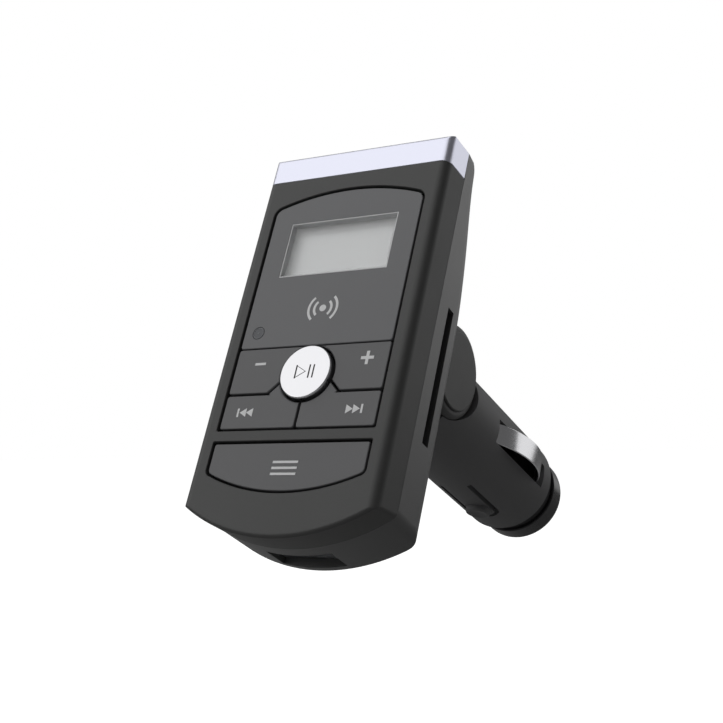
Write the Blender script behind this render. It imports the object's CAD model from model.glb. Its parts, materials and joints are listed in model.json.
# Looks of a folding car transmitter: a flat display head hinged to a round 12 volt plug.
# Pieces are drawn in millimetres, on the head's own axes: x across the face, y from the face to the rear,
# z up along the head. The plug's pieces use the same axes, with y along the plug.
import json
import math

import bmesh
import bpy
from mathutils import Matrix, Vector


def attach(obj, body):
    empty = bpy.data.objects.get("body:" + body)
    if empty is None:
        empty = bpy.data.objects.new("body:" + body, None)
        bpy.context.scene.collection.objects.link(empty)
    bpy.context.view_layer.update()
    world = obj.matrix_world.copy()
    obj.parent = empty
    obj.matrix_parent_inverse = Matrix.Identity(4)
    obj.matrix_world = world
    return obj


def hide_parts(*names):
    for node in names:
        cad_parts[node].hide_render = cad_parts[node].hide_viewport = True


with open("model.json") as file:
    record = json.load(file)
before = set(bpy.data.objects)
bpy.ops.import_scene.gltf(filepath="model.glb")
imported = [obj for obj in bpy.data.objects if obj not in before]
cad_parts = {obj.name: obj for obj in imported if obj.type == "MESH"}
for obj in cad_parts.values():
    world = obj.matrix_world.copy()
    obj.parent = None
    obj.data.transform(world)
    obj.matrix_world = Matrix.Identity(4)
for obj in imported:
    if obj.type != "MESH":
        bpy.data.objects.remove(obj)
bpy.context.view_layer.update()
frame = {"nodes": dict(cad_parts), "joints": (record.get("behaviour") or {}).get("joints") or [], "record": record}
joints = {joint["name"]: joint for joint in frame["joints"]}

# Head, in millimetres
HALF_W = 20.0
BODY_H = 72.7
CHIN_DROP = 6.0
CHIN_R = (HALF_W ** 2 + CHIN_DROP ** 2) / (2 * CHIN_DROP)
CHIN_ARC = (CHIN_R - CHIN_DROP, CHIN_R)
SEAM_Y = 6.5
BODY_DEPTH = 17.7
WALL = 1.6
TRIM_Z = BODY_H - 6.0
TRIM_T = 0.9
TRIM_TOP_EDGE_R = 1.5
TRIM_LOW_EDGE_R = 0.15
TRIM_SEAM_EDGE = 0.1
SEAM_GAP = 0.03
SEAM_EDGE = 0.04
FRONT_EDGE_R = 1.8
FRONT_TOP_EDGE_R = 0.15
CHIN_EDGE_R = 0.7
REAR_EDGE_R = 4.0
REAR_CHIN_EDGE_R = 0.8
REAR_TOP_EDGE_R = 0.5
CHIN_CORNER_R = 1.1
REAR_CORNER_R = 2.6
TOP_CORNER_R = 0.5
TRIM_ROOM_CORNER_R = 0.4
TIGHT_R = 0.2
STRAIGHT = 1e5

# Face, in millimetres
HALF_PANEL = 16.0
PANEL_TOP = BODY_H - 9.8
PANEL_BOTTOM = 8.0 - CHIN_DROP
PANEL_CORNER_R = 2.2
PANEL_T = 1.3
PANEL_TOP_RISE = 2.9
PANEL_BOTTOM_RISE = 3.4
PANEL_TOP_R = (HALF_PANEL ** 2 + PANEL_TOP_RISE ** 2) / (2 * PANEL_TOP_RISE)
PANEL_BOTTOM_R = (HALF_PANEL ** 2 + PANEL_BOTTOM_RISE ** 2) / (2 * PANEL_BOTTOM_RISE)
PANEL_TOP_ARC = (PANEL_TOP - PANEL_TOP_R, PANEL_TOP_R)
PANEL_BOTTOM_ARC = (PANEL_BOTTOM + PANEL_BOTTOM_R, PANEL_BOTTOM_R)
GROOVE = 0.45
FACE_Y = 0.15
KEY_T = 1.8
KEY_EDGE = 0.2
KEY_CORNER_R = 0.45
ROW_H = 9.4
MENU_TOP = PANEL_BOTTOM + 9.1
ROW_MID = MENU_TOP + ROW_H
ROW_TOP = ROW_MID + ROW_H
PLAY_R = 5.2
PLAY_Z = ROW_TOP - GROOVE - PLAY_R
PLAY_Y = -0.6
WINDOW = (23.2, 11.8)
WINDOW_TOP = PANEL_TOP - 6.3

# Hinge and plug, in millimetres
HINGE_Y = 34.4
HINGE_Z = 41.5
PLUG_Z = HINGE_Z - 3.4
PLUG_R = 10.8
RIM_Y = HINGE_Y + 49.6


def axes_matrix(back):
    """Carries millimetres on the head's or the plug's axes into the frame, in metres."""
    up = Vector((0, -back.z, back.y))
    origin = Vector(joints["plug_hinge"]["pos_m"]) - (back * HINGE_Y + up * HINGE_Z) / 1000
    turn = Matrix((Vector((1, 0, 0)), back, up)).transposed().to_4x4()
    return Matrix.Translation(origin) @ turn @ Matrix.Scale(0.001, 4)


HEAD = axes_matrix(Vector(joints["play_press"]["axis"]).normalized())
PLUG = axes_matrix(Vector(joints["nose_off"]["axis"]).normalized())


# Camera, lamps and floor

FOCAL_PX = 1310.25
PHOTO_PX = 723
SENSOR_MM = 36.0
FLOOR_Z = -0.05
FLOOR_REACH = 6
FLOOR_GREY = 0.38
WORLD_FILL = 0.11
WHITE = (1, 1, 1, 1)
EYE = Vector((126.32, -168.93, -67.74))
LOOK = Vector((-0.51305, 0.75076, 0.41610))
LOOK_RIGHT = Vector((0.85699, 0.47542, 0.19888))

# Place, target and size in metres, and power in watts
LAMPS = {
    "key_lamp": ((-0.5, -0.38, 0.8), (0, 0.0, 0.04), (1.7, 1.7), 9.3),
    "low_lamp": ((-0.75, -0.75, 0.2), (0, 0.0, 0.03), (0.4, 0.3), 0.4),
    "side_lamp": ((0.5, 0.8, 0.33), (0, 0.03, 0.04), (1.2, 0.64), 1.9)}


def add_camera():
    """Camera at the photograph's place, given on the head's axes."""
    data = bpy.data.cameras.new("camera")
    data.sensor_width = SENSOR_MM
    data.lens = FOCAL_PX * SENSOR_MM / PHOTO_PX
    data.clip_start = 0.01
    data.clip_end = 20
    camera = bpy.data.objects.new("camera", data)
    bpy.context.scene.collection.objects.link(camera)
    turn = HEAD.to_3x3().normalized()
    back = -(turn @ LOOK).normalized()
    right = (turn @ LOOK_RIGHT).normalized()
    up = back.cross(right)
    camera.matrix_world = Matrix.Translation(HEAD @ EYE) @ Matrix((right, up, back)).transposed().to_4x4()
    bpy.context.scene.camera = camera


def add_lamp(name, place, target, size, power):
    """A soft rectangular lamp at a place, facing a target."""
    data = bpy.data.lights.new(name, "AREA")
    data.shape = "RECTANGLE"
    data.size, data.size_y = size
    data.energy = power
    lamp = bpy.data.objects.new(name, data)
    bpy.context.scene.collection.objects.link(lamp)
    lamp.location = place
    lamp.rotation_mode = "QUATERNION"
    lamp.rotation_quaternion = (Vector(target) - Vector(place)).to_track_quat("-Z", "Y")


def add_world(strength):
    """White behind the object for the camera, also through glass, and a soft grey fill for the rest."""
    world = bpy.data.worlds.new("world")
    bpy.context.scene.world = world
    world.use_nodes = True
    nodes, links = world.node_tree.nodes, world.node_tree.links
    nodes.clear()
    path = nodes.new("ShaderNodeLightPath")
    seen = nodes.new("ShaderNodeMath")
    seen.operation = "MAXIMUM"
    links.new(path.outputs["Is Camera Ray"], seen.inputs[0])
    links.new(path.outputs["Is Transmission Ray"], seen.inputs[1])
    fill = nodes.new("ShaderNodeBackground")
    fill.inputs["Color"].default_value = WHITE
    fill.inputs["Strength"].default_value = strength
    white = nodes.new("ShaderNodeBackground")
    white.inputs["Color"].default_value = WHITE
    mix = nodes.new("ShaderNodeMixShader")
    links.new(seen.outputs[0], mix.inputs[0])
    links.new(fill.outputs[0], mix.inputs[1])
    links.new(white.outputs[0], mix.inputs[2])
    out = nodes.new("ShaderNodeOutputWorld")
    links.new(mix.outputs[0], out.inputs["Surface"])


def floor_material():
    """A grey surface to the light, with an even white glow for the camera alone."""
    material = bpy.data.materials.new("floor")
    material.use_nodes = True
    nodes, links = material.node_tree.nodes, material.node_tree.links
    nodes.clear()
    diffuse = nodes.new("ShaderNodeBsdfDiffuse")
    diffuse.inputs["Color"].default_value = (FLOOR_GREY, FLOOR_GREY, FLOOR_GREY, 1)
    glow = nodes.new("ShaderNodeEmission")
    glow.inputs["Color"].default_value = WHITE
    path = nodes.new("ShaderNodeLightPath")
    links.new(path.outputs["Is Camera Ray"], glow.inputs["Strength"])
    both = nodes.new("ShaderNodeAddShader")
    links.new(diffuse.outputs[0], both.inputs[0])
    links.new(glow.outputs[0], both.inputs[1])
    out = nodes.new("ShaderNodeOutputMaterial")
    links.new(both.outputs[0], out.inputs["Surface"])
    return material


def add_floor():
    """A wide floor, low enough for the plug at any angle."""
    mesh = bpy.data.meshes.new("floor")
    corners = [(-1, -1), (1, -1), (1, 1), (-1, 1)]
    mesh.from_pydata([(x * FLOOR_REACH, y * FLOOR_REACH, FLOOR_Z) for x, y in corners], [], [(0, 1, 2, 3)])
    floor = bpy.data.objects.new("floor", mesh)
    bpy.context.scene.collection.objects.link(floor)
    mesh.materials.append(floor_material())


bpy.context.scene.view_settings.view_transform = "Standard"
add_camera()
add_world(WORLD_FILL)
add_floor()
for lamp_name, settings in LAMPS.items():
    add_lamp(lamp_name, *settings)


# Materials

COAT_ROUGHNESS = 0.4
CLOUD_SCALE = 90
CLOUD_DETAIL = 4
GLOSS_SPREAD = 0.05
GRAIN_DETAIL = 2
GRAIN_DEPTH_M = 0.00003
CLEAR_IOR = 1.2


def add_grain(nodes, links, place, shader, grain, grain_mm):
    """A fine grain of a given strength and width in a surface's bump."""
    speck = nodes.new("ShaderNodeTexNoise")
    speck.inputs["Scale"].default_value = 1000 / grain_mm
    speck.inputs["Detail"].default_value = GRAIN_DETAIL
    links.new(place.outputs["Object"], speck.inputs["Vector"])
    bump = nodes.new("ShaderNodeBump")
    bump.inputs["Strength"].default_value = grain
    bump.inputs["Distance"].default_value = GRAIN_DEPTH_M
    links.new(speck.outputs["Fac"], bump.inputs["Height"])
    links.new(bump.outputs[0], shader.inputs["Normal"])


def new_material(name, colour, roughness, metallic=0.0, grain=0.0, grain_mm=0.2, tone=0.06,
                 coat=0.0, glow=0.0):
    """A procedural surface: uneven tone and gloss, a fine grain in its bump, a dull coat and a glow."""
    material = bpy.data.materials.new(name)
    material.use_nodes = True
    nodes, links = material.node_tree.nodes, material.node_tree.links
    shader = nodes["Principled BSDF"]
    shader.inputs["Metallic"].default_value = metallic
    shader.inputs["Coat Weight"].default_value = coat
    shader.inputs["Coat Roughness"].default_value = COAT_ROUGHNESS
    shader.inputs["Emission Color"].default_value = WHITE
    shader.inputs["Emission Strength"].default_value = glow
    place = nodes.new("ShaderNodeTexCoord")
    cloud = nodes.new("ShaderNodeTexNoise")
    cloud.inputs["Scale"].default_value = CLOUD_SCALE
    cloud.inputs["Detail"].default_value = CLOUD_DETAIL
    links.new(place.outputs["Object"], cloud.inputs["Vector"])
    tones = nodes.new("ShaderNodeMixRGB")
    tones.inputs["Color1"].default_value = (*[c * (1 - tone) for c in colour], 1)
    tones.inputs["Color2"].default_value = (*[min(1, c * (1 + tone)) for c in colour], 1)
    links.new(cloud.outputs["Fac"], tones.inputs["Fac"])
    links.new(tones.outputs[0], shader.inputs["Base Color"])
    gloss = nodes.new("ShaderNodeMapRange")
    gloss.inputs["To Min"].default_value = max(0.02, roughness - GLOSS_SPREAD)
    gloss.inputs["To Max"].default_value = min(1, roughness + GLOSS_SPREAD)
    links.new(cloud.outputs["Fac"], gloss.inputs["Value"])
    links.new(gloss.outputs[0], shader.inputs["Roughness"])
    if grain:
        add_grain(nodes, links, place, shader, grain, grain_mm)
    return material


def glass_material(name, colour, roughness):
    """Clear plastic or glass."""
    material = new_material(name, colour, roughness, tone=0.02)
    shader = material.node_tree.nodes["Principled BSDF"]
    shader.inputs["Transmission Weight"].default_value = 1
    shader.inputs["IOR"].default_value = CLEAR_IOR
    return material


MATERIALS = {
    "shell": new_material("shell", (0.054, 0.055, 0.054), 0.5, grain=0.5, grain_mm=0.22),
    "rear_shell": new_material("rear_shell", (0.062, 0.063, 0.063), 0.5, grain=0.5, grain_mm=0.22, coat=0.6),
    "face": new_material("face", (0.151, 0.153, 0.159), 0.36, grain=0.12, grain_mm=0.3),
    "key": new_material("key", (0.124, 0.125, 0.129), 0.42, grain=0.25, grain_mm=0.25),
    "trim": new_material("trim", (0.75, 0.76, 0.87), 0.34, metallic=1, tone=0.02),
    "round_key": new_material("round_key", (0.775, 0.775, 0.795), 0.22, metallic=1, tone=0.03),
    "window": glass_material("window", (0.97, 0.98, 0.98), 0.03),
    "display": new_material("display", (0.34, 0.34, 0.342), 0.35, tone=0.02, glow=0.14),
    "light_box": new_material("light_box", (0.8, 0.8, 0.77), 0.4, tone=0.02),
    "dark_window": new_material("dark_window", (0.09, 0.095, 0.105), 0.2, tone=0.03),
    "black": new_material("black", (0.012, 0.012, 0.013), 0.55, grain=0.2),
    "board": new_material("board", (0.012, 0.1, 0.035), 0.35, tone=0.1),
    "metal": new_material("metal", (0.6, 0.61, 0.63), 0.3, metallic=1, tone=0.05),
    "screw": new_material("screw", (0.06, 0.06, 0.062), 0.35, metallic=1, tone=0.1),
    "white": new_material("white", (0.82, 0.82, 0.79), 0.4, tone=0.02),
    "winding": new_material("winding", (0.3, 0.1, 0.04), 0.3, metallic=1, tone=0.15),
    "sleeve": new_material("sleeve", (0.02, 0.03, 0.09), 0.3, tone=0.05),
    "wire": new_material("wire", (0.35, 0.012, 0.012), 0.4, tone=0.05),
    "plug": new_material("plug", (0.108, 0.108, 0.11), 0.6, grain=0.5, grain_mm=0.25),
    "nose": new_material("nose", (0.014, 0.0135, 0.015), 0.28, grain=0.1),
    "contact": new_material("contact", (0.8, 0.8, 0.82), 0.18, metallic=1, tone=0.04),
    "glass": glass_material("glass", (0.95, 0.97, 0.97), 0.02),
    "legend": new_material("legend", (0.82, 0.82, 0.825), 0.5, tone=0.02),
    "faint_mark": new_material("faint_mark", (0.15, 0.155, 0.165), 0.4, tone=0.02),
    "liner": new_material("liner", (0.66, 0.665, 0.67), 0.4, tone=0.02),
}
for subpart in frame["record"]["subparts"]:
    node = frame["nodes"][subpart["node"]]
    node.data.materials.clear()
    node.data.materials.append(MATERIALS[subpart["material_slot"]])


# Solids in millimetres, as lists of places and faces

# Steps in an arc, half a corner and a small edge
ARC_STEPS = 28
CORNER_STEPS = 4
EDGE_STEPS = 5
# Share of an arc or side at which it has one more place near each end
NEAR_END = 0.008
# Least radius of a wall's inner edge
LEAST_R = 0.05
# The higher, the less one rounded edge changes another beside it
EDGE_BLEND = 4
# Edges above this angle are shaded as sharp
SHARP_DEGREES = 35


def quarter(steps, first=0):
    """Even angles through a quarter turn."""
    return [math.pi / 2 * k / steps for k in range(first, steps + 1)]


def join(*solids):
    """Several solids as one list of places and one of faces."""
    places, faces = [], []
    for more, their_faces in solids:
        base = len(places)
        places += more
        faces += [[base + i for i in face] for face in their_faces]
    return places, faces


def loft(rings, closed=False):
    """A solid between rings of equally many places: flat ends, or a tube bent into a closed loop."""
    count = len(rings[0])
    places = [place for ring in rings for place in ring]
    faces = []
    for k in range(len(rings) if closed else len(rings) - 1):
        here, there = k * count, (k + 1) % len(rings) * count
        for i in range(count):
            j = (i + 1) % count
            faces.append([here + i, here + j, there + j, there + i])
    if not closed:
        faces.append(list(range(count))[::-1])
        faces.append([(len(rings) - 1) * count + i for i in range(count)])
    return places, faces


def corner_fillets(arcs, left, right, corners):
    """Middle, radius, turn and directions of the fillet at each corner, from low left round to high left."""
    spots = ((arcs[0], left), (arcs[0], right), (arcs[1], right), (arcs[1], left))
    fillets = []
    for ((arc_z, arc_r, up), x), radius in zip(spots, corners):
        outward = 1 if x == right else -1
        mid_x = x - outward * radius
        mid_z = arc_z + up * math.sqrt((arc_r - radius) ** 2 - mid_x ** 2)
        turn = math.atan2(mid_x, up * (mid_z - arc_z))
        fillets.append((mid_x, mid_z, radius, turn, outward, up))
    return fillets


def fillet_places(fillet, steps):
    """Places on a fillet at some of its steps, which count from its arc to its side."""
    mid_x, mid_z, radius, turn, outward, up = fillet
    full = outward * math.pi / 2
    found = []
    for i in steps:
        angle = turn + (full - turn) * i / (2 * CORNER_STEPS)
        found.append((mid_x + radius * math.sin(angle), mid_z + up * radius * math.cos(angle)))
    return found


def shares(steps):
    """Even shares between 0 and 1, with one more near each end."""
    return (NEAR_END, *[i / steps for i in range(1, steps)], 1 - NEAR_END)


def outline(sides, low, high, corners, inset=(0, 0, 0), side_steps=2):
    """A face shape from its lower left corner round to the right, as (x, z), and where its corners are.

    sides are its two x places; low and high are arcs given by the height of their centre and their
    radius; corners are the radii at low left, low right, high right and high left. The inset moves
    the sides, the lower edge and the upper edge inwards by amounts of their own.
    """
    side_in, low_in, high_in = inset
    left, right = sides[0] + side_in, sides[1] - side_in
    arcs = ((low[0], low[1] - low_in, -1), (high[0], high[1] - high_in, 1))
    fillets = corner_fillets(arcs, left, right, corners)
    half = CORNER_STEPS
    ring = []
    marks = []
    for (arc_z, arc_r, up), x, first in zip(arcs, (right, left), (0, 2)):
        before, behind, after = fillets[first], fillets[first + 1], fillets[(first + 2) % 4]
        marks.append(len(ring))
        ring += fillet_places(before, range(half, 0, -1))
        start, end = before[3], behind[3]
        for share in (0, *shares(ARC_STEPS), 1):
            angle = start + (end - start) * share
            ring.append((arc_r * math.sin(angle), arc_z + up * arc_r * math.cos(angle)))
        ring += fillet_places(behind, range(1, half))
        marks.append(len(ring))
        ring += fillet_places(behind, range(half, 2 * half + 1))
        ring += [(x, behind[1] + (after[1] - behind[1]) * share) for share in shares(side_steps)]
        ring += fillet_places(after, range(2 * half, half, -1))
    return ring, marks


def at_depth(ring, y):
    """A face shape's places at one depth."""
    return [(x, y, z) for x, z in ring]


def plate(shape, y0, y1, edge=0.15, back_edge=0.05):
    """A plate with rounded edges; shape gives its outline for an inset."""
    rings = []
    for angle in quarter(EDGE_STEPS):
        rings.append(at_depth(shape(edge * (1 - math.sin(angle))), y0 + edge * (1 - math.cos(angle))))
    rings.append(at_depth(shape(0), y1 - back_edge))
    rings.append(at_depth(shape(back_edge), y1))
    return loft(rings)


def grid_cap(ring, marks, depth):
    """Fills a face shape by a net that follows a depth for each height."""
    count = len(ring)
    low = [ring[i] for i in range(marks[0], marks[1] + 1)]
    right = [ring[i] for i in range(marks[1], marks[2] + 1)]
    high = [ring[i] for i in range(marks[2], marks[3] + 1)][::-1]
    left = [ring[i % count] for i in range(marks[3], count + 1)][::-1]
    across, along = len(low) - 1, len(right) - 1
    names = {}
    for i in range(across + 1):
        names[i, 0] = marks[0] + i
        names[i, along] = marks[3] - i
    for j in range(along + 1):
        names[across, j] = marks[1] + j
        names[0, j] = (count - j) % count
    extra, faces = [], []
    for i in range(1, across):
        u = (low[i][0] - low[0][0]) / (low[-1][0] - low[0][0])
        for j in range(1, along):
            v = (right[j][1] - right[0][1]) / (right[-1][1] - right[0][1])
            place = [(1 - v) * low[i][c] + v * high[i][c] + (1 - u) * left[j][c] + u * right[j][c]
                     - (1 - u) * (1 - v) * low[0][c] - u * (1 - v) * low[-1][c]
                     - (1 - u) * v * high[0][c] - u * v * high[-1][c] for c in (0, 1)]
            names[i, j] = count + len(extra)
            extra.append((place[0], depth(place[1]), place[1]))
    for i in range(across):
        for j in range(along):
            faces.append([names[i, j], names[i + 1, j], names[i + 1, j + 1], names[i, j + 1]])
    return extra, faces


def edge_drop(distance, radius):
    """How far a rounded edge falls back at a distance from its side."""
    reach = radius - max(0.0, min(distance, radius))
    return radius - math.sqrt(radius ** 2 - reach ** 2)


def seam_rings(shape, seam, inset, back, edge):
    """The outline at the seam, with its edge broken if it has one."""
    plain = outline(**shape, inset=(inset,) * 3)[0]
    if not edge:
        return [at_depth(plain, seam)]
    narrow = outline(**shape, inset=(inset + edge,) * 3)[0]
    return [at_depth(narrow, seam), at_depth(plain, seam + back * edge)]


def capped(rings, ring, marks, depth):
    """A solid between rings, its last end closed by a net."""
    places, faces = loft(rings)
    faces.pop()
    extra, net = grid_cap(ring, marks, depth)
    count = len(ring)
    base = len(places) - count
    total = len(places)
    faces += [[base + i if i < count else total + i - count for i in face] for face in net]
    return places + extra, faces


def shell_solid(shape, radii, seam, depth, inset=0.0, back=1, seam_edge=0.0, draft=(0, 0, 0),
                ease=lambda z: 1.0):
    """A solid from the seam to a rounded face, back or front.

    The radii are those of its side, low and high edges, and the draft tells how far these walls
    lean inwards on their way from the seam. The ease gives the share of the side radius at a height.
    """
    inner = [max(radius - inset, LEAST_R) for radius in radii]
    half = shape["sides"][1] - inset - draft[0]
    (low_z, low_r), (high_z, high_r) = shape["low"], shape["high"]

    def level_at(x, z):
        spare = (half - abs(x),
                 low_r - inset - draft[1] - math.hypot(x, z - low_z) if z < low_z else low_r,
                 high_r - inset - draft[2] - math.hypot(x, z - high_z) if z > high_z else high_r)
        edges = (inner[0] * ease(z), inner[1], inner[2])
        drops = [edge_drop(distance, radius) for distance, radius in zip(spare, edges)]
        drop = sum(one ** EDGE_BLEND for one in drops) ** (1 / EDGE_BLEND)
        return depth(z) - back * (inset + drop)

    rings = seam_rings(shape, seam, inset, back, seam_edge)
    for angle in quarter(2 * EDGE_STEPS):
        ring, marks = outline(**shape, inset=[inset + lean + radius * (1 - math.cos(angle))
                                              for lean, radius in zip(draft, inner)])
        rings.append([(x, level_at(x, z), z) for x, z in ring])
    return capped(rings, ring, marks, lambda z: depth(z) - back * inset)


def lathe(profile, mid=(0, 0), along="y", steps=96, closed=False):
    """A round solid from (distance, radius) pairs along y, x or z, about a middle line."""
    rings = []
    for distance, radius in profile:
        ring = []
        for i in range(steps):
            angle = 2 * math.pi * i / steps
            a, b = radius * math.cos(angle), radius * math.sin(angle)
            ring.append({"y": (mid[0] + a, distance, mid[1] + b), "x": (distance, mid[0] + a, mid[1] + b),
                         "z": (mid[0] + a, mid[1] + b, distance)}[along])
        rings.append(ring)
    return loft(rings, closed)


def rod(y0, y1, radius, mid=(0, 0), along="y", edge=0.0, back_edge=None, steps=96):
    """A round bar with rounded ends."""
    back_edge = edge if back_edge is None else back_edge

    def end(y, inwards, rounding):
        if not rounding:
            return [(y, radius)]
        return [(y + inwards * rounding * (1 - math.cos(a)), radius - rounding * (1 - math.sin(a)))
                for a in quarter(EDGE_STEPS)]

    return lathe(end(y0, 1, edge) + end(y1, -1, back_edge)[::-1], mid, along, steps)


def box(low, high, edge=0.0):
    """A box between two corners, with rounded edges."""
    work = bmesh.new()
    bmesh.ops.create_cube(work, size=1)
    for vert in work.verts:
        vert.co = Vector([(a + b) / 2 + c * (b - a) for a, b, c in zip(low, high, vert.co)])
    if edge:
        bmesh.ops.bevel(work, geom=work.edges[:], offset=edge, segments=4, profile=0.5, affect="EDGES")
    work.verts.index_update()
    solid = [tuple(v.co) for v in work.verts], [[v.index for v in face.verts] for face in work.faces]
    work.free()
    return solid


def flat_shape(points, y0, y1):
    """A thin solid drawn by its corners, as (x, z)."""
    return loft([[(x, y0, z) for x, z in points], [(x, y1, z) for x, z in points]])


def mirrored(solid):
    """A solid's mirror image across the middle of the head."""
    return [(-x, y, z) for x, y, z in solid[0]], [face[::-1] for face in solid[1]]


def as_mesh(name, solid):
    """A mesh whose faces all look outwards."""
    mesh = bpy.data.meshes.new(name)
    mesh.from_pydata(solid[0], [], solid[1])
    work = bmesh.new()
    work.from_mesh(mesh)
    bmesh.ops.remove_doubles(work, verts=work.verts[:], dist=1e-5)
    bmesh.ops.recalc_face_normals(work, faces=work.faces[:])
    work.to_mesh(mesh)
    work.free()
    return mesh


def combined(name, base, others, operation):
    """A mesh after other solids are cut from it, or joined to it."""
    target = bpy.data.objects.new(name, base)
    helpers = [target]
    bpy.context.scene.collection.objects.link(target)
    for solid in others:
        helper = bpy.data.objects.new("helper", as_mesh("helper", solid))
        bpy.context.scene.collection.objects.link(helper)
        helpers.append(helper)
        step = target.modifiers.new("step", "BOOLEAN")
        step.operation = operation
        step.solver = "EXACT"
        step.object = helper
    graph = bpy.context.evaluated_depsgraph_get()
    result = bpy.data.meshes.new_from_object(target.evaluated_get(graph))
    for helper in helpers:
        data = helper.data
        bpy.data.objects.remove(helper)
        bpy.data.meshes.remove(data)
    result.name = name
    return result


def add(name, solid, axes, body, slot, replaces=(), cuts=(), joins=(), look=None):
    """One piece of the object: its solid, what is joined to it and cut from it, and what it rides on.

    Its material is its slot's, or the one that look names.
    """
    mesh = as_mesh(name, solid)
    if joins:
        mesh = combined(name, mesh, joins, "UNION")
    if cuts:
        mesh = combined(name, mesh, cuts, "DIFFERENCE")
    mesh.transform(axes)
    mesh.shade_smooth()
    mesh.set_sharp_from_angle(angle=math.radians(SHARP_DEGREES))
    mesh.materials.clear()
    mesh.materials.append(MATERIALS[look or slot])
    piece = bpy.data.objects.new(name, mesh)
    bpy.context.scene.collection.objects.link(piece)
    even = piece.modifiers.new("even shading", "WEIGHTED_NORMAL")
    even.keep_sharp = True
    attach(piece, body)
    if replaces:
        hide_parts(*replaces)


# Head: the two halves of the case and the bright trim

FULL_SIDES = (-HALF_W, HALF_W)


def level(z, up=1):
    """A straight edge at a height, as an arc so wide that it looks straight."""
    return (z - up * STRAIGHT, STRAIGHT)


FRONT_SHAPE = {"sides": FULL_SIDES, "low": CHIN_ARC, "high": level(TRIM_Z - SEAM_GAP),
               "corners": (CHIN_CORNER_R, CHIN_CORNER_R, TIGHT_R, TIGHT_R), "side_steps": 24}
REAR_SHAPE = {"sides": FULL_SIDES, "low": CHIN_ARC, "high": level(BODY_H),
              "corners": (REAR_CORNER_R, REAR_CORNER_R, TOP_CORNER_R, TOP_CORNER_R), "side_steps": 64}
TRIM_SHAPE = {"sides": FULL_SIDES, "low": level(TRIM_Z, -1), "high": level(BODY_H),
              "corners": (TIGHT_R, TIGHT_R, TOP_CORNER_R, TOP_CORNER_R), "side_steps": 8}
TRIM_ROOM = {"sides": FULL_SIDES, "low": level(TRIM_Z - 8, -1), "high": level(BODY_H),
             "corners": (TIGHT_R, TIGHT_R, TRIM_ROOM_CORNER_R, TRIM_ROOM_CORNER_R), "side_steps": 8}

# Height of each bend of the rear, its slope above the bend, and half the bend's length
REAR_SLOPES = [
    (-CHIN_DROP, 0.0, 1.0),
    (BODY_H - 31.0, (16.1 - BODY_DEPTH) / 12.0, 6.0),
    (BODY_H - 19.0, (12.8 - 16.1) / 15.8, 5.0),
    (BODY_H - 1.1, (9.5 - 12.8) / 3.2, 1.0)]


def rear_depth(z):
    """How far back the rear lies at a height, with its bends softened."""
    depth = BODY_DEPTH
    before = 0.0
    for bend_z, slope, soft in REAR_SLOPES:
        if z > bend_z + soft:
            depth += (slope - before) * (z - bend_z)
        elif z > bend_z - soft:
            depth += (slope - before) * (z - bend_z + soft) ** 2 / (4 * soft)
        before = slope
    return depth


def face_level(z):
    """The front lies at one depth all the way up."""
    return 0.0


def cell(x0, x1, low, high, corners):
    """A piece of the face as a shape that takes an inset."""
    return lambda inset: outline((x0, x1), low, high, corners, (inset,) * 3)[0]


BAR_Z = MENU_TOP + GROOVE / 2
BAR_H = 2.0
ROW_LOW = BAR_Z + BAR_H + GROOVE / 2
OPENING_SIDES = (-HALF_PANEL - GROOVE, HALF_PANEL + GROOVE)
OPENING_EDGE = 0.12
# Cuts start before the face and end behind the pieces that they go through
CUT_START = -1
CUT_END = 4
OPENING_END = 5

upper_opening = cell(*OPENING_SIDES, level(BAR_Z + BAR_H, -1), (PANEL_TOP_ARC[0], PANEL_TOP_ARC[1] + GROOVE),
                     (0.4, 0.4, PANEL_CORNER_R, PANEL_CORNER_R))
menu_opening = cell(*OPENING_SIDES, (PANEL_BOTTOM_ARC[0], PANEL_BOTTOM_ARC[1] + GROOVE), level(BAR_Z),
                    (1.3, 1.3, 0.3, 0.3))


def opening_cut(shape):
    """A hole right through the front, a little wider at the surface."""
    wide, narrow = shape(-OPENING_EDGE), shape(0)
    return loft([at_depth(wide, CUT_START), at_depth(wide, -0.02), at_depth(narrow, OPENING_EDGE),
                 at_depth(narrow, OPENING_END)])


# Radii of the side, low and high edges, and how far the walls lean in from the seam
FRONT_RADII = (FRONT_EDGE_R, CHIN_EDGE_R, FRONT_TOP_EDGE_R)
REAR_RADII = (REAR_EDGE_R, REAR_CHIN_EDGE_R, REAR_TOP_EDGE_R)
FRONT_DRAFT = (0.18, -0.35, 0)
REAR_DRAFT = (0.35, -0.1, 0)

# The share by which the rear's side edges get tighter, and the height and reach of that change
EASE_SHARE = 0.3
EASE_Z = 48.0
EASE_REACH = 24.0
EASE_POWER = 6


def rear_ease(z):
    """The share of the rear's side radius at a height: its edges get tighter towards the top."""
    return 1 - EASE_SHARE * min(max((z - EASE_Z) / EASE_REACH, 0.0), 1.0) ** EASE_POWER


add("front_case",
    shell_solid(FRONT_SHAPE, FRONT_RADII, SEAM_Y - SEAM_GAP / 2, face_level, back=-1, seam_edge=SEAM_EDGE,
                draft=FRONT_DRAFT),
    HEAD, "head", "shell", replaces=["front_shell"],
    cuts=[shell_solid(FRONT_SHAPE, FRONT_RADII, SEAM_Y + 1, face_level, inset=WALL, back=-1),
          opening_cut(upper_opening), opening_cut(menu_opening)])

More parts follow.
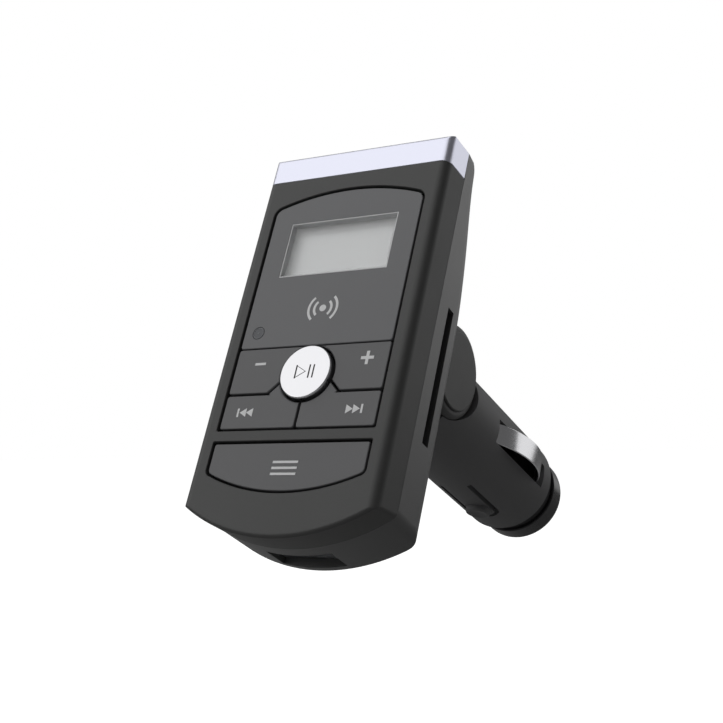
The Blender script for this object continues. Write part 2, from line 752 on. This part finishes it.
add("trim",
    shell_solid(TRIM_SHAPE, (FRONT_EDGE_R, TRIM_LOW_EDGE_R, TRIM_TOP_EDGE_R), SEAM_Y - SEAM_GAP / 2,
                face_level, back=-1, seam_edge=TRIM_SEAM_EDGE, draft=(FRONT_DRAFT[0], 0, 0)),
    HEAD, "head", "trim", replaces=["top_trim"],
    cuts=[shell_solid(TRIM_ROOM, (FRONT_EDGE_R, 0.1, 1.0), SEAM_Y + 1, face_level, inset=TRIM_T, back=-1)])

HINGE = (HINGE_Y, HINGE_Z)
EAR_R = 9.5
EAR_EDGE = 1.0
CAP_R = 7.95
EAR_IN = 5.4
EAR_OUT = 10.0
CARD_Y = (10.15, 12.45)
CARD_Z = (15.0, 41.6)
USB_HALF = 6.67
USB_Y = (9.73, 15.67)
MOUNT_T = 4.6
MOUNT_HALF_H = 6.8
MOUNT_EDGE = 0.9
NECK_HALF_H = 6
NECK_EDGE = 0.8
SCREW_PLACES = ((13.5, 67.05), (12.0, 0.39))
SCREWS = [(side * x, z) for side in (-1, 1) for x, z in SCREW_PLACES]
SCREW_SINK = 2.0
SCREW_HEAD_R = 1.8
SCREW_HEAD_T = 1.15
SCREW_R = 0.95
SCREW_HOLE_R = 1.07
SCREW_ROOM_R = 1.92
CROSS_HALF = 1.1
CROSS_HALF_W = 0.2
CROSS_DEPTH = 0.6
SCREW_START = 4.1
PIN_ROOM_R = 2.05
CAP_SINK = 0.65
CAP_PROUD = 0.5
CAP_SEAT = 0.7
CAP_GAP = 0.05


def screw_hole(x, z):
    """A stepped hole for a case screw."""
    top = rear_depth(z) - SCREW_SINK
    return lathe([(5, SCREW_HOLE_R), (top, SCREW_HOLE_R), (top, SCREW_ROOM_R), (25, SCREW_ROOM_R)], (x, z),
                 steps=48)


add("rear_case",
    shell_solid(REAR_SHAPE, REAR_RADII, SEAM_Y + SEAM_GAP / 2, rear_depth, seam_edge=SEAM_EDGE,
                draft=REAR_DRAFT, ease=rear_ease),
    HEAD, "head", "shell", replaces=["rear_shell"],
    cuts=[shell_solid(REAR_SHAPE, REAR_RADII, SEAM_Y - 1, rear_depth, inset=WALL, ease=rear_ease),
          box((HALF_W - 4, CARD_Y[0], CARD_Z[0]), (HALF_W + 4, CARD_Y[1], CARD_Z[1])),
          box((-USB_HALF, USB_Y[0], -12), (USB_HALF, USB_Y[1], 9)),
          *[screw_hole(x, z) for x, z in SCREWS]], look="rear_shell")


def ear():
    """A round ear of the hinge, its outer edge rounded."""
    edge = EAR_EDGE
    profile = [(EAR_IN, EAR_R - 0.2), (EAR_IN + 0.2, EAR_R)]
    for angle in quarter(8):
        profile.append((EAR_OUT - edge * (1 - math.sin(angle)), EAR_R - edge * (1 - math.cos(angle))))
    return lathe(profile + [(EAR_OUT, 4.0)], HINGE, "x")


def neck():
    """The block that carries an ear on the rear shell."""
    return box((EAR_IN, BODY_DEPTH - WALL, HINGE_Z - NECK_HALF_H), (EAR_OUT, HINGE_Y, HINGE_Z + NECK_HALF_H),
               NECK_EDGE)


seats = [rod(EAR_OUT - CAP_SEAT, EAR_OUT + 2, CAP_R + CAP_GAP, HINGE, "x"),
         rod(-HALF_W, HALF_W, PIN_ROOM_R, HINGE, "x")]
add("hinge_mount",
    box((-EAR_OUT, BODY_DEPTH - WALL, HINGE_Z - MOUNT_HALF_H),
        (EAR_OUT, BODY_DEPTH + MOUNT_T, HINGE_Z + MOUNT_HALF_H), MOUNT_EDGE),
    HEAD, "head", "shell", replaces=["rear_shell"],
    joins=[ear(), neck(), mirrored(ear()), mirrored(neck())],
    cuts=[*seats, mirrored(seats[0])])

for side, name in ((1, "right"), (-1, "left")):
    cap = rod(EAR_OUT - CAP_SINK, EAR_OUT + CAP_PROUD, CAP_R, HINGE, "x", edge=0.05, back_edge=0.28)
    add("cap_" + name, cap if side > 0 else mirrored(cap), HEAD, "head", "shell",
        replaces=["hinge_cap_" + name])

for n, (x, z) in enumerate(SCREWS):
    top = rear_depth(z) - SCREW_SINK + SCREW_HEAD_T
    cross = [box((x - dx, top - CROSS_DEPTH, z - dz), (x + dx, top + 1, z + dz))
             for dx, dz in ((CROSS_HALF, CROSS_HALF_W), (CROSS_HALF_W, CROSS_HALF))]
    shaft = rod(SCREW_START, top - CROSS_DEPTH, SCREW_R, (x, z), steps=32)
    add(f"case_screw_{n}",
        rod(top - SCREW_HEAD_T, top, SCREW_HEAD_R, (x, z), edge=0.02, back_edge=0.35, steps=48),
        HEAD, "head", "screw", replaces=["case_screws"], joins=[shaft], cuts=cross)


# Face: plates, keys and their marks

DISPLAY_LOW = WINDOW_TOP - WINDOW[1]
IR = (3.1 - HALF_PANEL, ROW_TOP + 3.2)
IR_R = 1.25
IR_HOLE_R = 1.3
LINER_GAP = 0.02
LINER_Y = (0.19, 1.49)
LINER_T = 0.22
plate_corners = (0.5, 0.5, PANEL_CORNER_R - GROOVE, PANEL_CORNER_R - GROOVE)
plate_shape = cell(-HALF_PANEL, HALF_PANEL, level(ROW_TOP, -1), PANEL_TOP_ARC, plate_corners)
add("face_plate", plate(plate_shape, FACE_Y, FACE_Y + PANEL_T, KEY_EDGE),
    HEAD, "head", "face", replaces=["face_panel"],
    cuts=[box((-WINDOW[0] / 2, CUT_START, DISPLAY_LOW), (WINDOW[0] / 2, CUT_END, WINDOW_TOP)),
          lathe([(CUT_START, IR_HOLE_R), (CUT_END, IR_HOLE_R)], IR, steps=48)])
liner_low = (-WINDOW[0] / 2 + LINER_GAP, LINER_Y[0], DISPLAY_LOW + LINER_GAP)
liner_high = (WINDOW[0] / 2 - LINER_GAP, LINER_Y[1], WINDOW_TOP - LINER_GAP)
add("display_liner", box(liner_low, liner_high), HEAD, "head", "liner",
    cuts=[box((liner_low[0] + LINER_T, CUT_START, liner_low[2] + LINER_T),
              (liner_high[0] - LINER_T, 3, liner_high[2] - LINER_T))])
add("receiver_window", rod(FACE_Y, 2.4, IR_R, IR, edge=0.12, back_edge=0.02, steps=48),
    HEAD, "head", "dark_window", replaces=["ir_lens"])

CUT_EDGE = 0.18
ROUND_ROOM_R = PLAY_R + GROOVE
round_cut = lathe([(CUT_START, ROUND_ROOM_R + CUT_EDGE), (FACE_Y, ROUND_ROOM_R + CUT_EDGE),
                   (FACE_Y + CUT_EDGE, ROUND_ROOM_R), (CUT_END, ROUND_ROOM_R)], (0, PLAY_Z))
SLANT_X = math.sqrt(ROUND_ROOM_R ** 2 - (PLAY_Z - ROW_MID) ** 2)
SLANT = 5.0 / math.sqrt(2)
STEM_R = 1.4
STEM_REACH = 2.9
STEM_X = 11
MENU_STEM_Z = 6.55


def stem(x, z):
    """A key's round stem, from its plate to its switch."""
    return rod(FACE_Y + KEY_T / 2, FACE_Y + KEY_T + STEM_REACH, STEM_R, (x, z), steps=32)


def diamond(side, half):
    """A square on its corner, where the round key's groove meets the groove between the rows."""
    x, z = side * SLANT_X, ROW_MID
    return [(x, z - half), (x + half, z), (x, z + half), (x - half, z)]


def slant_cut(side):
    """Takes the corner beside the round key from an upper key."""
    wide, narrow = diamond(side, SLANT + CUT_EDGE * math.sqrt(2)), diamond(side, SLANT)
    return loft([at_depth(wide, CUT_START), at_depth(wide, FACE_Y), at_depth(narrow, FACE_Y + CUT_EDGE),
                 at_depth(narrow, CUT_END)])


def slant_fill(side):
    """Fills that corner from a lower key, up to an even groove."""
    return plate(lambda inset: diamond(side, SLANT - (GROOVE + inset) * math.sqrt(2)),
                 FACE_Y, FACE_Y + KEY_T, KEY_EDGE)


def side_key(name, side, z0, z1, upper):
    """One of the four keys beside the round one; an upper key gives its corner to the lower one."""
    x0, x1 = sorted((side * GROOVE / 2, side * HALF_PANEL))
    shape = cell(x0, x1, level(z0 + GROOVE / 2, -1), level(z1 - GROOVE / 2), (KEY_CORNER_R,) * 4)
    add(name + "_top", plate(shape, FACE_Y, FACE_Y + KEY_T, KEY_EDGE),
        HEAD, name + "_key", "key", replaces=["key_" + name],
        joins=[stem(side * STEM_X, (z0 + z1) / 2)] + ([] if upper else [slant_fill(side)]),
        cuts=[round_cut] + ([slant_cut(side)] if upper else []))


side_key("minus", -1, ROW_MID, ROW_TOP, True)
side_key("plus", 1, ROW_MID, ROW_TOP, True)
side_key("prev", -1, ROW_LOW, ROW_MID, False)
side_key("next", 1, ROW_LOW, ROW_MID, False)
menu_shape = cell(-HALF_PANEL, HALF_PANEL, PANEL_BOTTOM_ARC, level(MENU_TOP - GROOVE / 2),
                  (1.0, 1.0, 0.4, 0.4))
add("menu_top", plate(menu_shape, FACE_Y, FACE_Y + KEY_T, 0.22),
    HEAD, "menu_key", "key", replaces=["key_menu"], joins=[stem(0, MENU_STEM_Z)])
add("play_top", rod(PLAY_Y, FACE_Y + KEY_T, PLAY_R, (0, PLAY_Z), edge=0.35, back_edge=0.05),
    HEAD, "play_key", "round_key", replaces=["key_play"], joins=[stem(0, PLAY_Z)])

MARK_T = 0.03


def mark(name, shapes, body, y=FACE_Y, material="legend"):
    """Flat printed shapes on the face, given by their corners."""
    add(name, join(*[flat_shape(points, y - MARK_T, y + MARK_T) for points in shapes]), HEAD, body, material)


def bar(x0, x1, z0, z1):
    """The corners of an upright rectangle."""
    return [(x0, z0), (x1, z0), (x1, z1), (x0, z1)]


def stroke(points, width):
    """Bars of one width along a line of places."""
    shapes = []
    for (x0, z0), (x1, z1) in zip(points, points[1:]):
        length = math.hypot(x1 - x0, z1 - z0)
        dx, dz = (x1 - x0) / length * width / 2, (z1 - z0) / length * width / 2
        x0, z0, x1, z1 = x0 - dx, z0 - dz, x1 + dx, z1 + dz
        shapes.append([(x0 + dz, z0 - dx), (x1 + dz, z1 - dx), (x1 - dz, z1 + dx), (x0 - dz, z0 + dx)])
    return shapes


def arc_line(mid, radius, start, end, steps):
    """Places along an arc, its angles in degrees from +x."""
    angles = [math.radians(start + (end - start) * i / steps) for i in range(steps + 1)]
    return [(mid[0] + radius * math.cos(angle), mid[1] + radius * math.sin(angle)) for angle in angles]


def ring_shapes(mid, radius, width, start=0, end=360, steps=40):
    """A ring or part of one, as many small four-sided shapes."""
    outer = arc_line(mid, radius + width / 2, start, end, steps)
    inner = arc_line(mid, radius - width / 2, start, end, steps)
    return [[inner[i], outer[i], outer[i + 1], inner[i + 1]] for i in range(steps)]


def dot(mid, radius):
    """A filled circle, as 24 corners."""
    return arc_line(mid, radius, 0, 345, 23)


mark("minus_mark", [bar(-11.75, -9.45, 26.35, 26.85)], "minus_key")
mark("plus_mark", [bar(10.5, 13.1, 26.4, 27.0), bar(11.5, 12.1, 27.0, 28.0), bar(11.5, 12.1, 25.4, 26.4)],
     "plus_key")
SKIP_Z = 16.95
SKIP_HALF = 0.85
SKIP_L = 1.4
for side, body, mid_x in ((-1, "prev_key", -11.4), (1, "next_key", 11.5)):
    bottom, top = SKIP_Z - SKIP_HALF, SKIP_Z + SKIP_HALF
    shapes = [[(mid_x + side * a, bottom), (mid_x + side * (a + SKIP_L), SKIP_Z), (mid_x + side * a, top)]
              for a in (-1.75, -0.35)]
    shapes.append(bar(*sorted((mid_x + side * 1.2, mid_x + side * 1.6)), bottom, top))
    mark(body + "_mark", shapes, body)
mark("menu_mark", [bar(-2.6, 2.6, z - 0.22, z + 0.22) for z in (5.1, 6.2, 7.3)], "menu_key")
mark("play_mark", stroke([(-1.9, PLAY_Z + 1.2), (0.1, PLAY_Z), (-1.9, PLAY_Z - 1.2)], 0.1)
     + [bar(x, x + 0.26, PLAY_Z - 1.3, PLAY_Z + 1.3) for x in (-2.03, 0.75, 1.6)],
     "play_key", y=PLAY_Y, material="black")
WAVE_MID = (0.0, 37.4)
WAVE_DOT_R = 0.7
WAVE_RADII = (1.8, 3.0)
WAVE_T = 0.5
WAVE_REACH = 48
waves = [dot(WAVE_MID, WAVE_DOT_R)]
for radius in WAVE_RADII:
    for turn in (0, 180):
        waves += ring_shapes(WAVE_MID, radius, WAVE_T, turn - WAVE_REACH, turn + WAVE_REACH, 14)
mark("wave_mark", waves, "head")
mark("receiver_ring", ring_shapes(IR, 1.05, 0.14), "head", material="faint_mark")
mark("receiver_dot", [dot(IR, 0.22)], "head", material="faint_mark")


# Plug: housing, nose and contacts

PLUG_MID = (0.0, PLUG_Z)
BORE_R = 9.2
BORE_Y = HINGE_Y + 11.2
SLOT_Y = (55.0, 79.8)
SLOT_HALF = 2.6
TAB_Y = (60.0, 75.6)
NUB_Y = 72.4
NUB_R = 2.7
NUB_TOP = PLUG_R + 1.1
NOSE_Y = RIM_Y + 4.2
NOSE_END = NOSE_Y + 5.8
NOSE_R = 9.8
NOSE_EDGE_R = 2
NOSE_WALL = 2
NOSE_BORE_R = 2.45
NOSE_WELL_R = 4.0
SLEEVE_R = 9.08
SLEEVE_L = 3.0
SLEEVE_GAP = 0.02
TIP_R = 2.4
TIP_PROUD = 1.0
TIP_COLLAR_R = 3.8
TIP_COLLAR_Y = (NOSE_END - 3.4, NOSE_END - 2.1)
TONGUE_HALF = 5
TONGUE_R = 9.0
EAR_GAP = 0.15
EAR_ROOM_GAP = 0.35


def tab_cut(up):
    """The groove round a grip tab: two legs and a rounded end."""
    half, cut, corner = 2.8, 1.0, 2.4
    y0, y1 = TAB_Y
    outer = [(half + cut, y0)]
    outer += [(half + cut - corner * (1 - math.cos(a)), y1 + cut - corner * (1 - math.sin(a)))
              for a in quarter(8)]
    inner = [(half, y0)]
    inner += [(half - (corner - cut) * (1 - math.cos(a)), y1 - (corner - cut) * (1 - math.sin(a)))
              for a in quarter(8)]
    left = [(-x, y) for x, y in outer[::-1]]
    loop = outer + left + [(-x, y) for x, y in inner] + inner[::-1]
    return loft([[(x, y, PLUG_Z + up * z) for x, y in loop] for z in (4.0, 13.0)])


def nub(up):
    """The round grip on a tab, its top dished."""
    base, edge, dish = 7.0, 0.5, 0.45
    profile = [(base, NUB_R), (NUB_TOP - edge, NUB_R)]
    profile += [(NUB_TOP - edge * (1 - math.sin(a)), NUB_R - edge * (1 - math.cos(a)))
                for a in quarter(5, first=1)]
    profile += [(NUB_TOP - dish * (1 - share ** 2), (NUB_R - edge) * share)
                for share in (0.85, 0.6, 0.35, 0.1)]
    return lathe([(PLUG_Z + up * z, r) for z, r in profile], (0, NUB_Y), "z", steps=48)


ear_room = lathe([(TONGUE_HALF, EAR_R + EAR_GAP), (9.8, EAR_R + EAR_GAP), (10.8, EAR_R + EAR_ROOM_GAP),
                  (14.0, EAR_R + EAR_ROOM_GAP)], HINGE, "x")
add("plug_tube", lathe([(HINGE_Y, PLUG_R), (RIM_Y - 0.3, PLUG_R), (RIM_Y - 0.09, PLUG_R - 0.09),
                        (RIM_Y, PLUG_R - 0.3)], PLUG_MID, steps=160),
    PLUG, "plug", "plug", replaces=["plug_housing"],
    joins=[rod(-TONGUE_HALF, TONGUE_HALF, TONGUE_R, HINGE, "x", edge=0.3), nub(-1), nub(1)],
    cuts=[ear_room, mirrored(ear_room), rod(-12, 12, PIN_ROOM_R, HINGE, "x", steps=48),
          rod(BORE_Y, RIM_Y + 2, BORE_R, PLUG_MID, steps=128),
          box((-14, SLOT_Y[0], PLUG_Z - SLOT_HALF), (14, SLOT_Y[1], PLUG_Z + SLOT_HALF), 0.25),
          tab_cut(-1), tab_cut(1)])

nose_edge = [(NOSE_END - NOSE_EDGE_R * (1 - math.sin(a)), NOSE_R - NOSE_EDGE_R * (1 - math.cos(a)))
             for a in quarter(12)]
add("nose_ring", lathe([(NOSE_Y, 6.9), (NOSE_Y, NOSE_R - 0.2), (NOSE_Y + 0.2, NOSE_R), *nose_edge,
                        (NOSE_END, NOSE_BORE_R + 0.15), (NOSE_END - 0.15, NOSE_BORE_R),
                        (NOSE_END - NOSE_WALL, NOSE_BORE_R), (NOSE_END - NOSE_WALL, NOSE_WELL_R),
                        (NOSE_Y + 0.4, NOSE_WELL_R)], PLUG_MID, steps=160, closed=True),
    PLUG, "nose", "nose", replaces=["nose_cap"])
sleeve_y = (RIM_Y - SLEEVE_L, NOSE_Y - SLEEVE_GAP)
add("nose_sleeve", lathe([(sleeve_y[0], NOSE_WELL_R), (sleeve_y[0], SLEEVE_R), (sleeve_y[1], SLEEVE_R),
                          (sleeve_y[1], NOSE_WELL_R)], PLUG_MID, steps=128, closed=True),
    PLUG, "nose", "black", replaces=["nose_cap"])
ball = [(NOSE_END + TIP_PROUD + TIP_R * math.sin(a), TIP_R * math.cos(a)) for a in quarter(12)[:-1]]
add("tip", lathe([(TIP_COLLAR_Y[0], TIP_COLLAR_R), (TIP_COLLAR_Y[1], TIP_COLLAR_R), (TIP_COLLAR_Y[1], TIP_R),
                  *ball], PLUG_MID, steps=64),
    PLUG, "tip", "contact", replaces=["tip_contact"])


def side_strip():
    """A sprung strip: flat feet under the tube and a bow through the slot."""
    foot_x, peak_x = 8.64, 13.6
    mid_y, half, width, thick, edge = 67.4, 12.0, 4.5, 0.4, 0.15
    sag = peak_x - foot_x
    radius = (half * half + sag * sag) / (2 * sag)
    reach = math.asin(half / radius)
    corners = ((-1, -1, math.pi), (1, -1, 1.5 * math.pi), (1, 1, 0.0), (-1, 1, 0.5 * math.pi))
    end, bend, steps = 13, 0.4, 20
    line = [(foot_x, mid_y - end, 0.0), (foot_x, mid_y - half - bend, 0.0)]
    for k in range(-steps, steps + 1):
        angle = reach * k / steps
        line.append((peak_x - radius * (1 - math.cos(angle)), mid_y + radius * math.sin(angle), angle))
    line += [(foot_x, mid_y + half + bend, 0.0), (foot_x, mid_y + end, 0.0)]
    rings = []
    for x, y, angle in line:
        ring = []
        for side, up, start in corners:
            for turn in quarter(3):
                across = side * (width / 2 - edge) + edge * math.cos(start + turn)
                out = up * (thick / 2 - edge) + edge * math.sin(start + turn)
                ring.append((x + out * math.cos(angle), y + out * math.sin(angle), PLUG_Z + across))
        rings.append(ring)
    return loft(rings)


add("strip_right", side_strip(), PLUG, "contact_right", "contact", replaces=["ground_contact_right"])
add("strip_left", mirrored(side_strip()), PLUG, "contact_left", "contact", replaces=["ground_contact_left"])
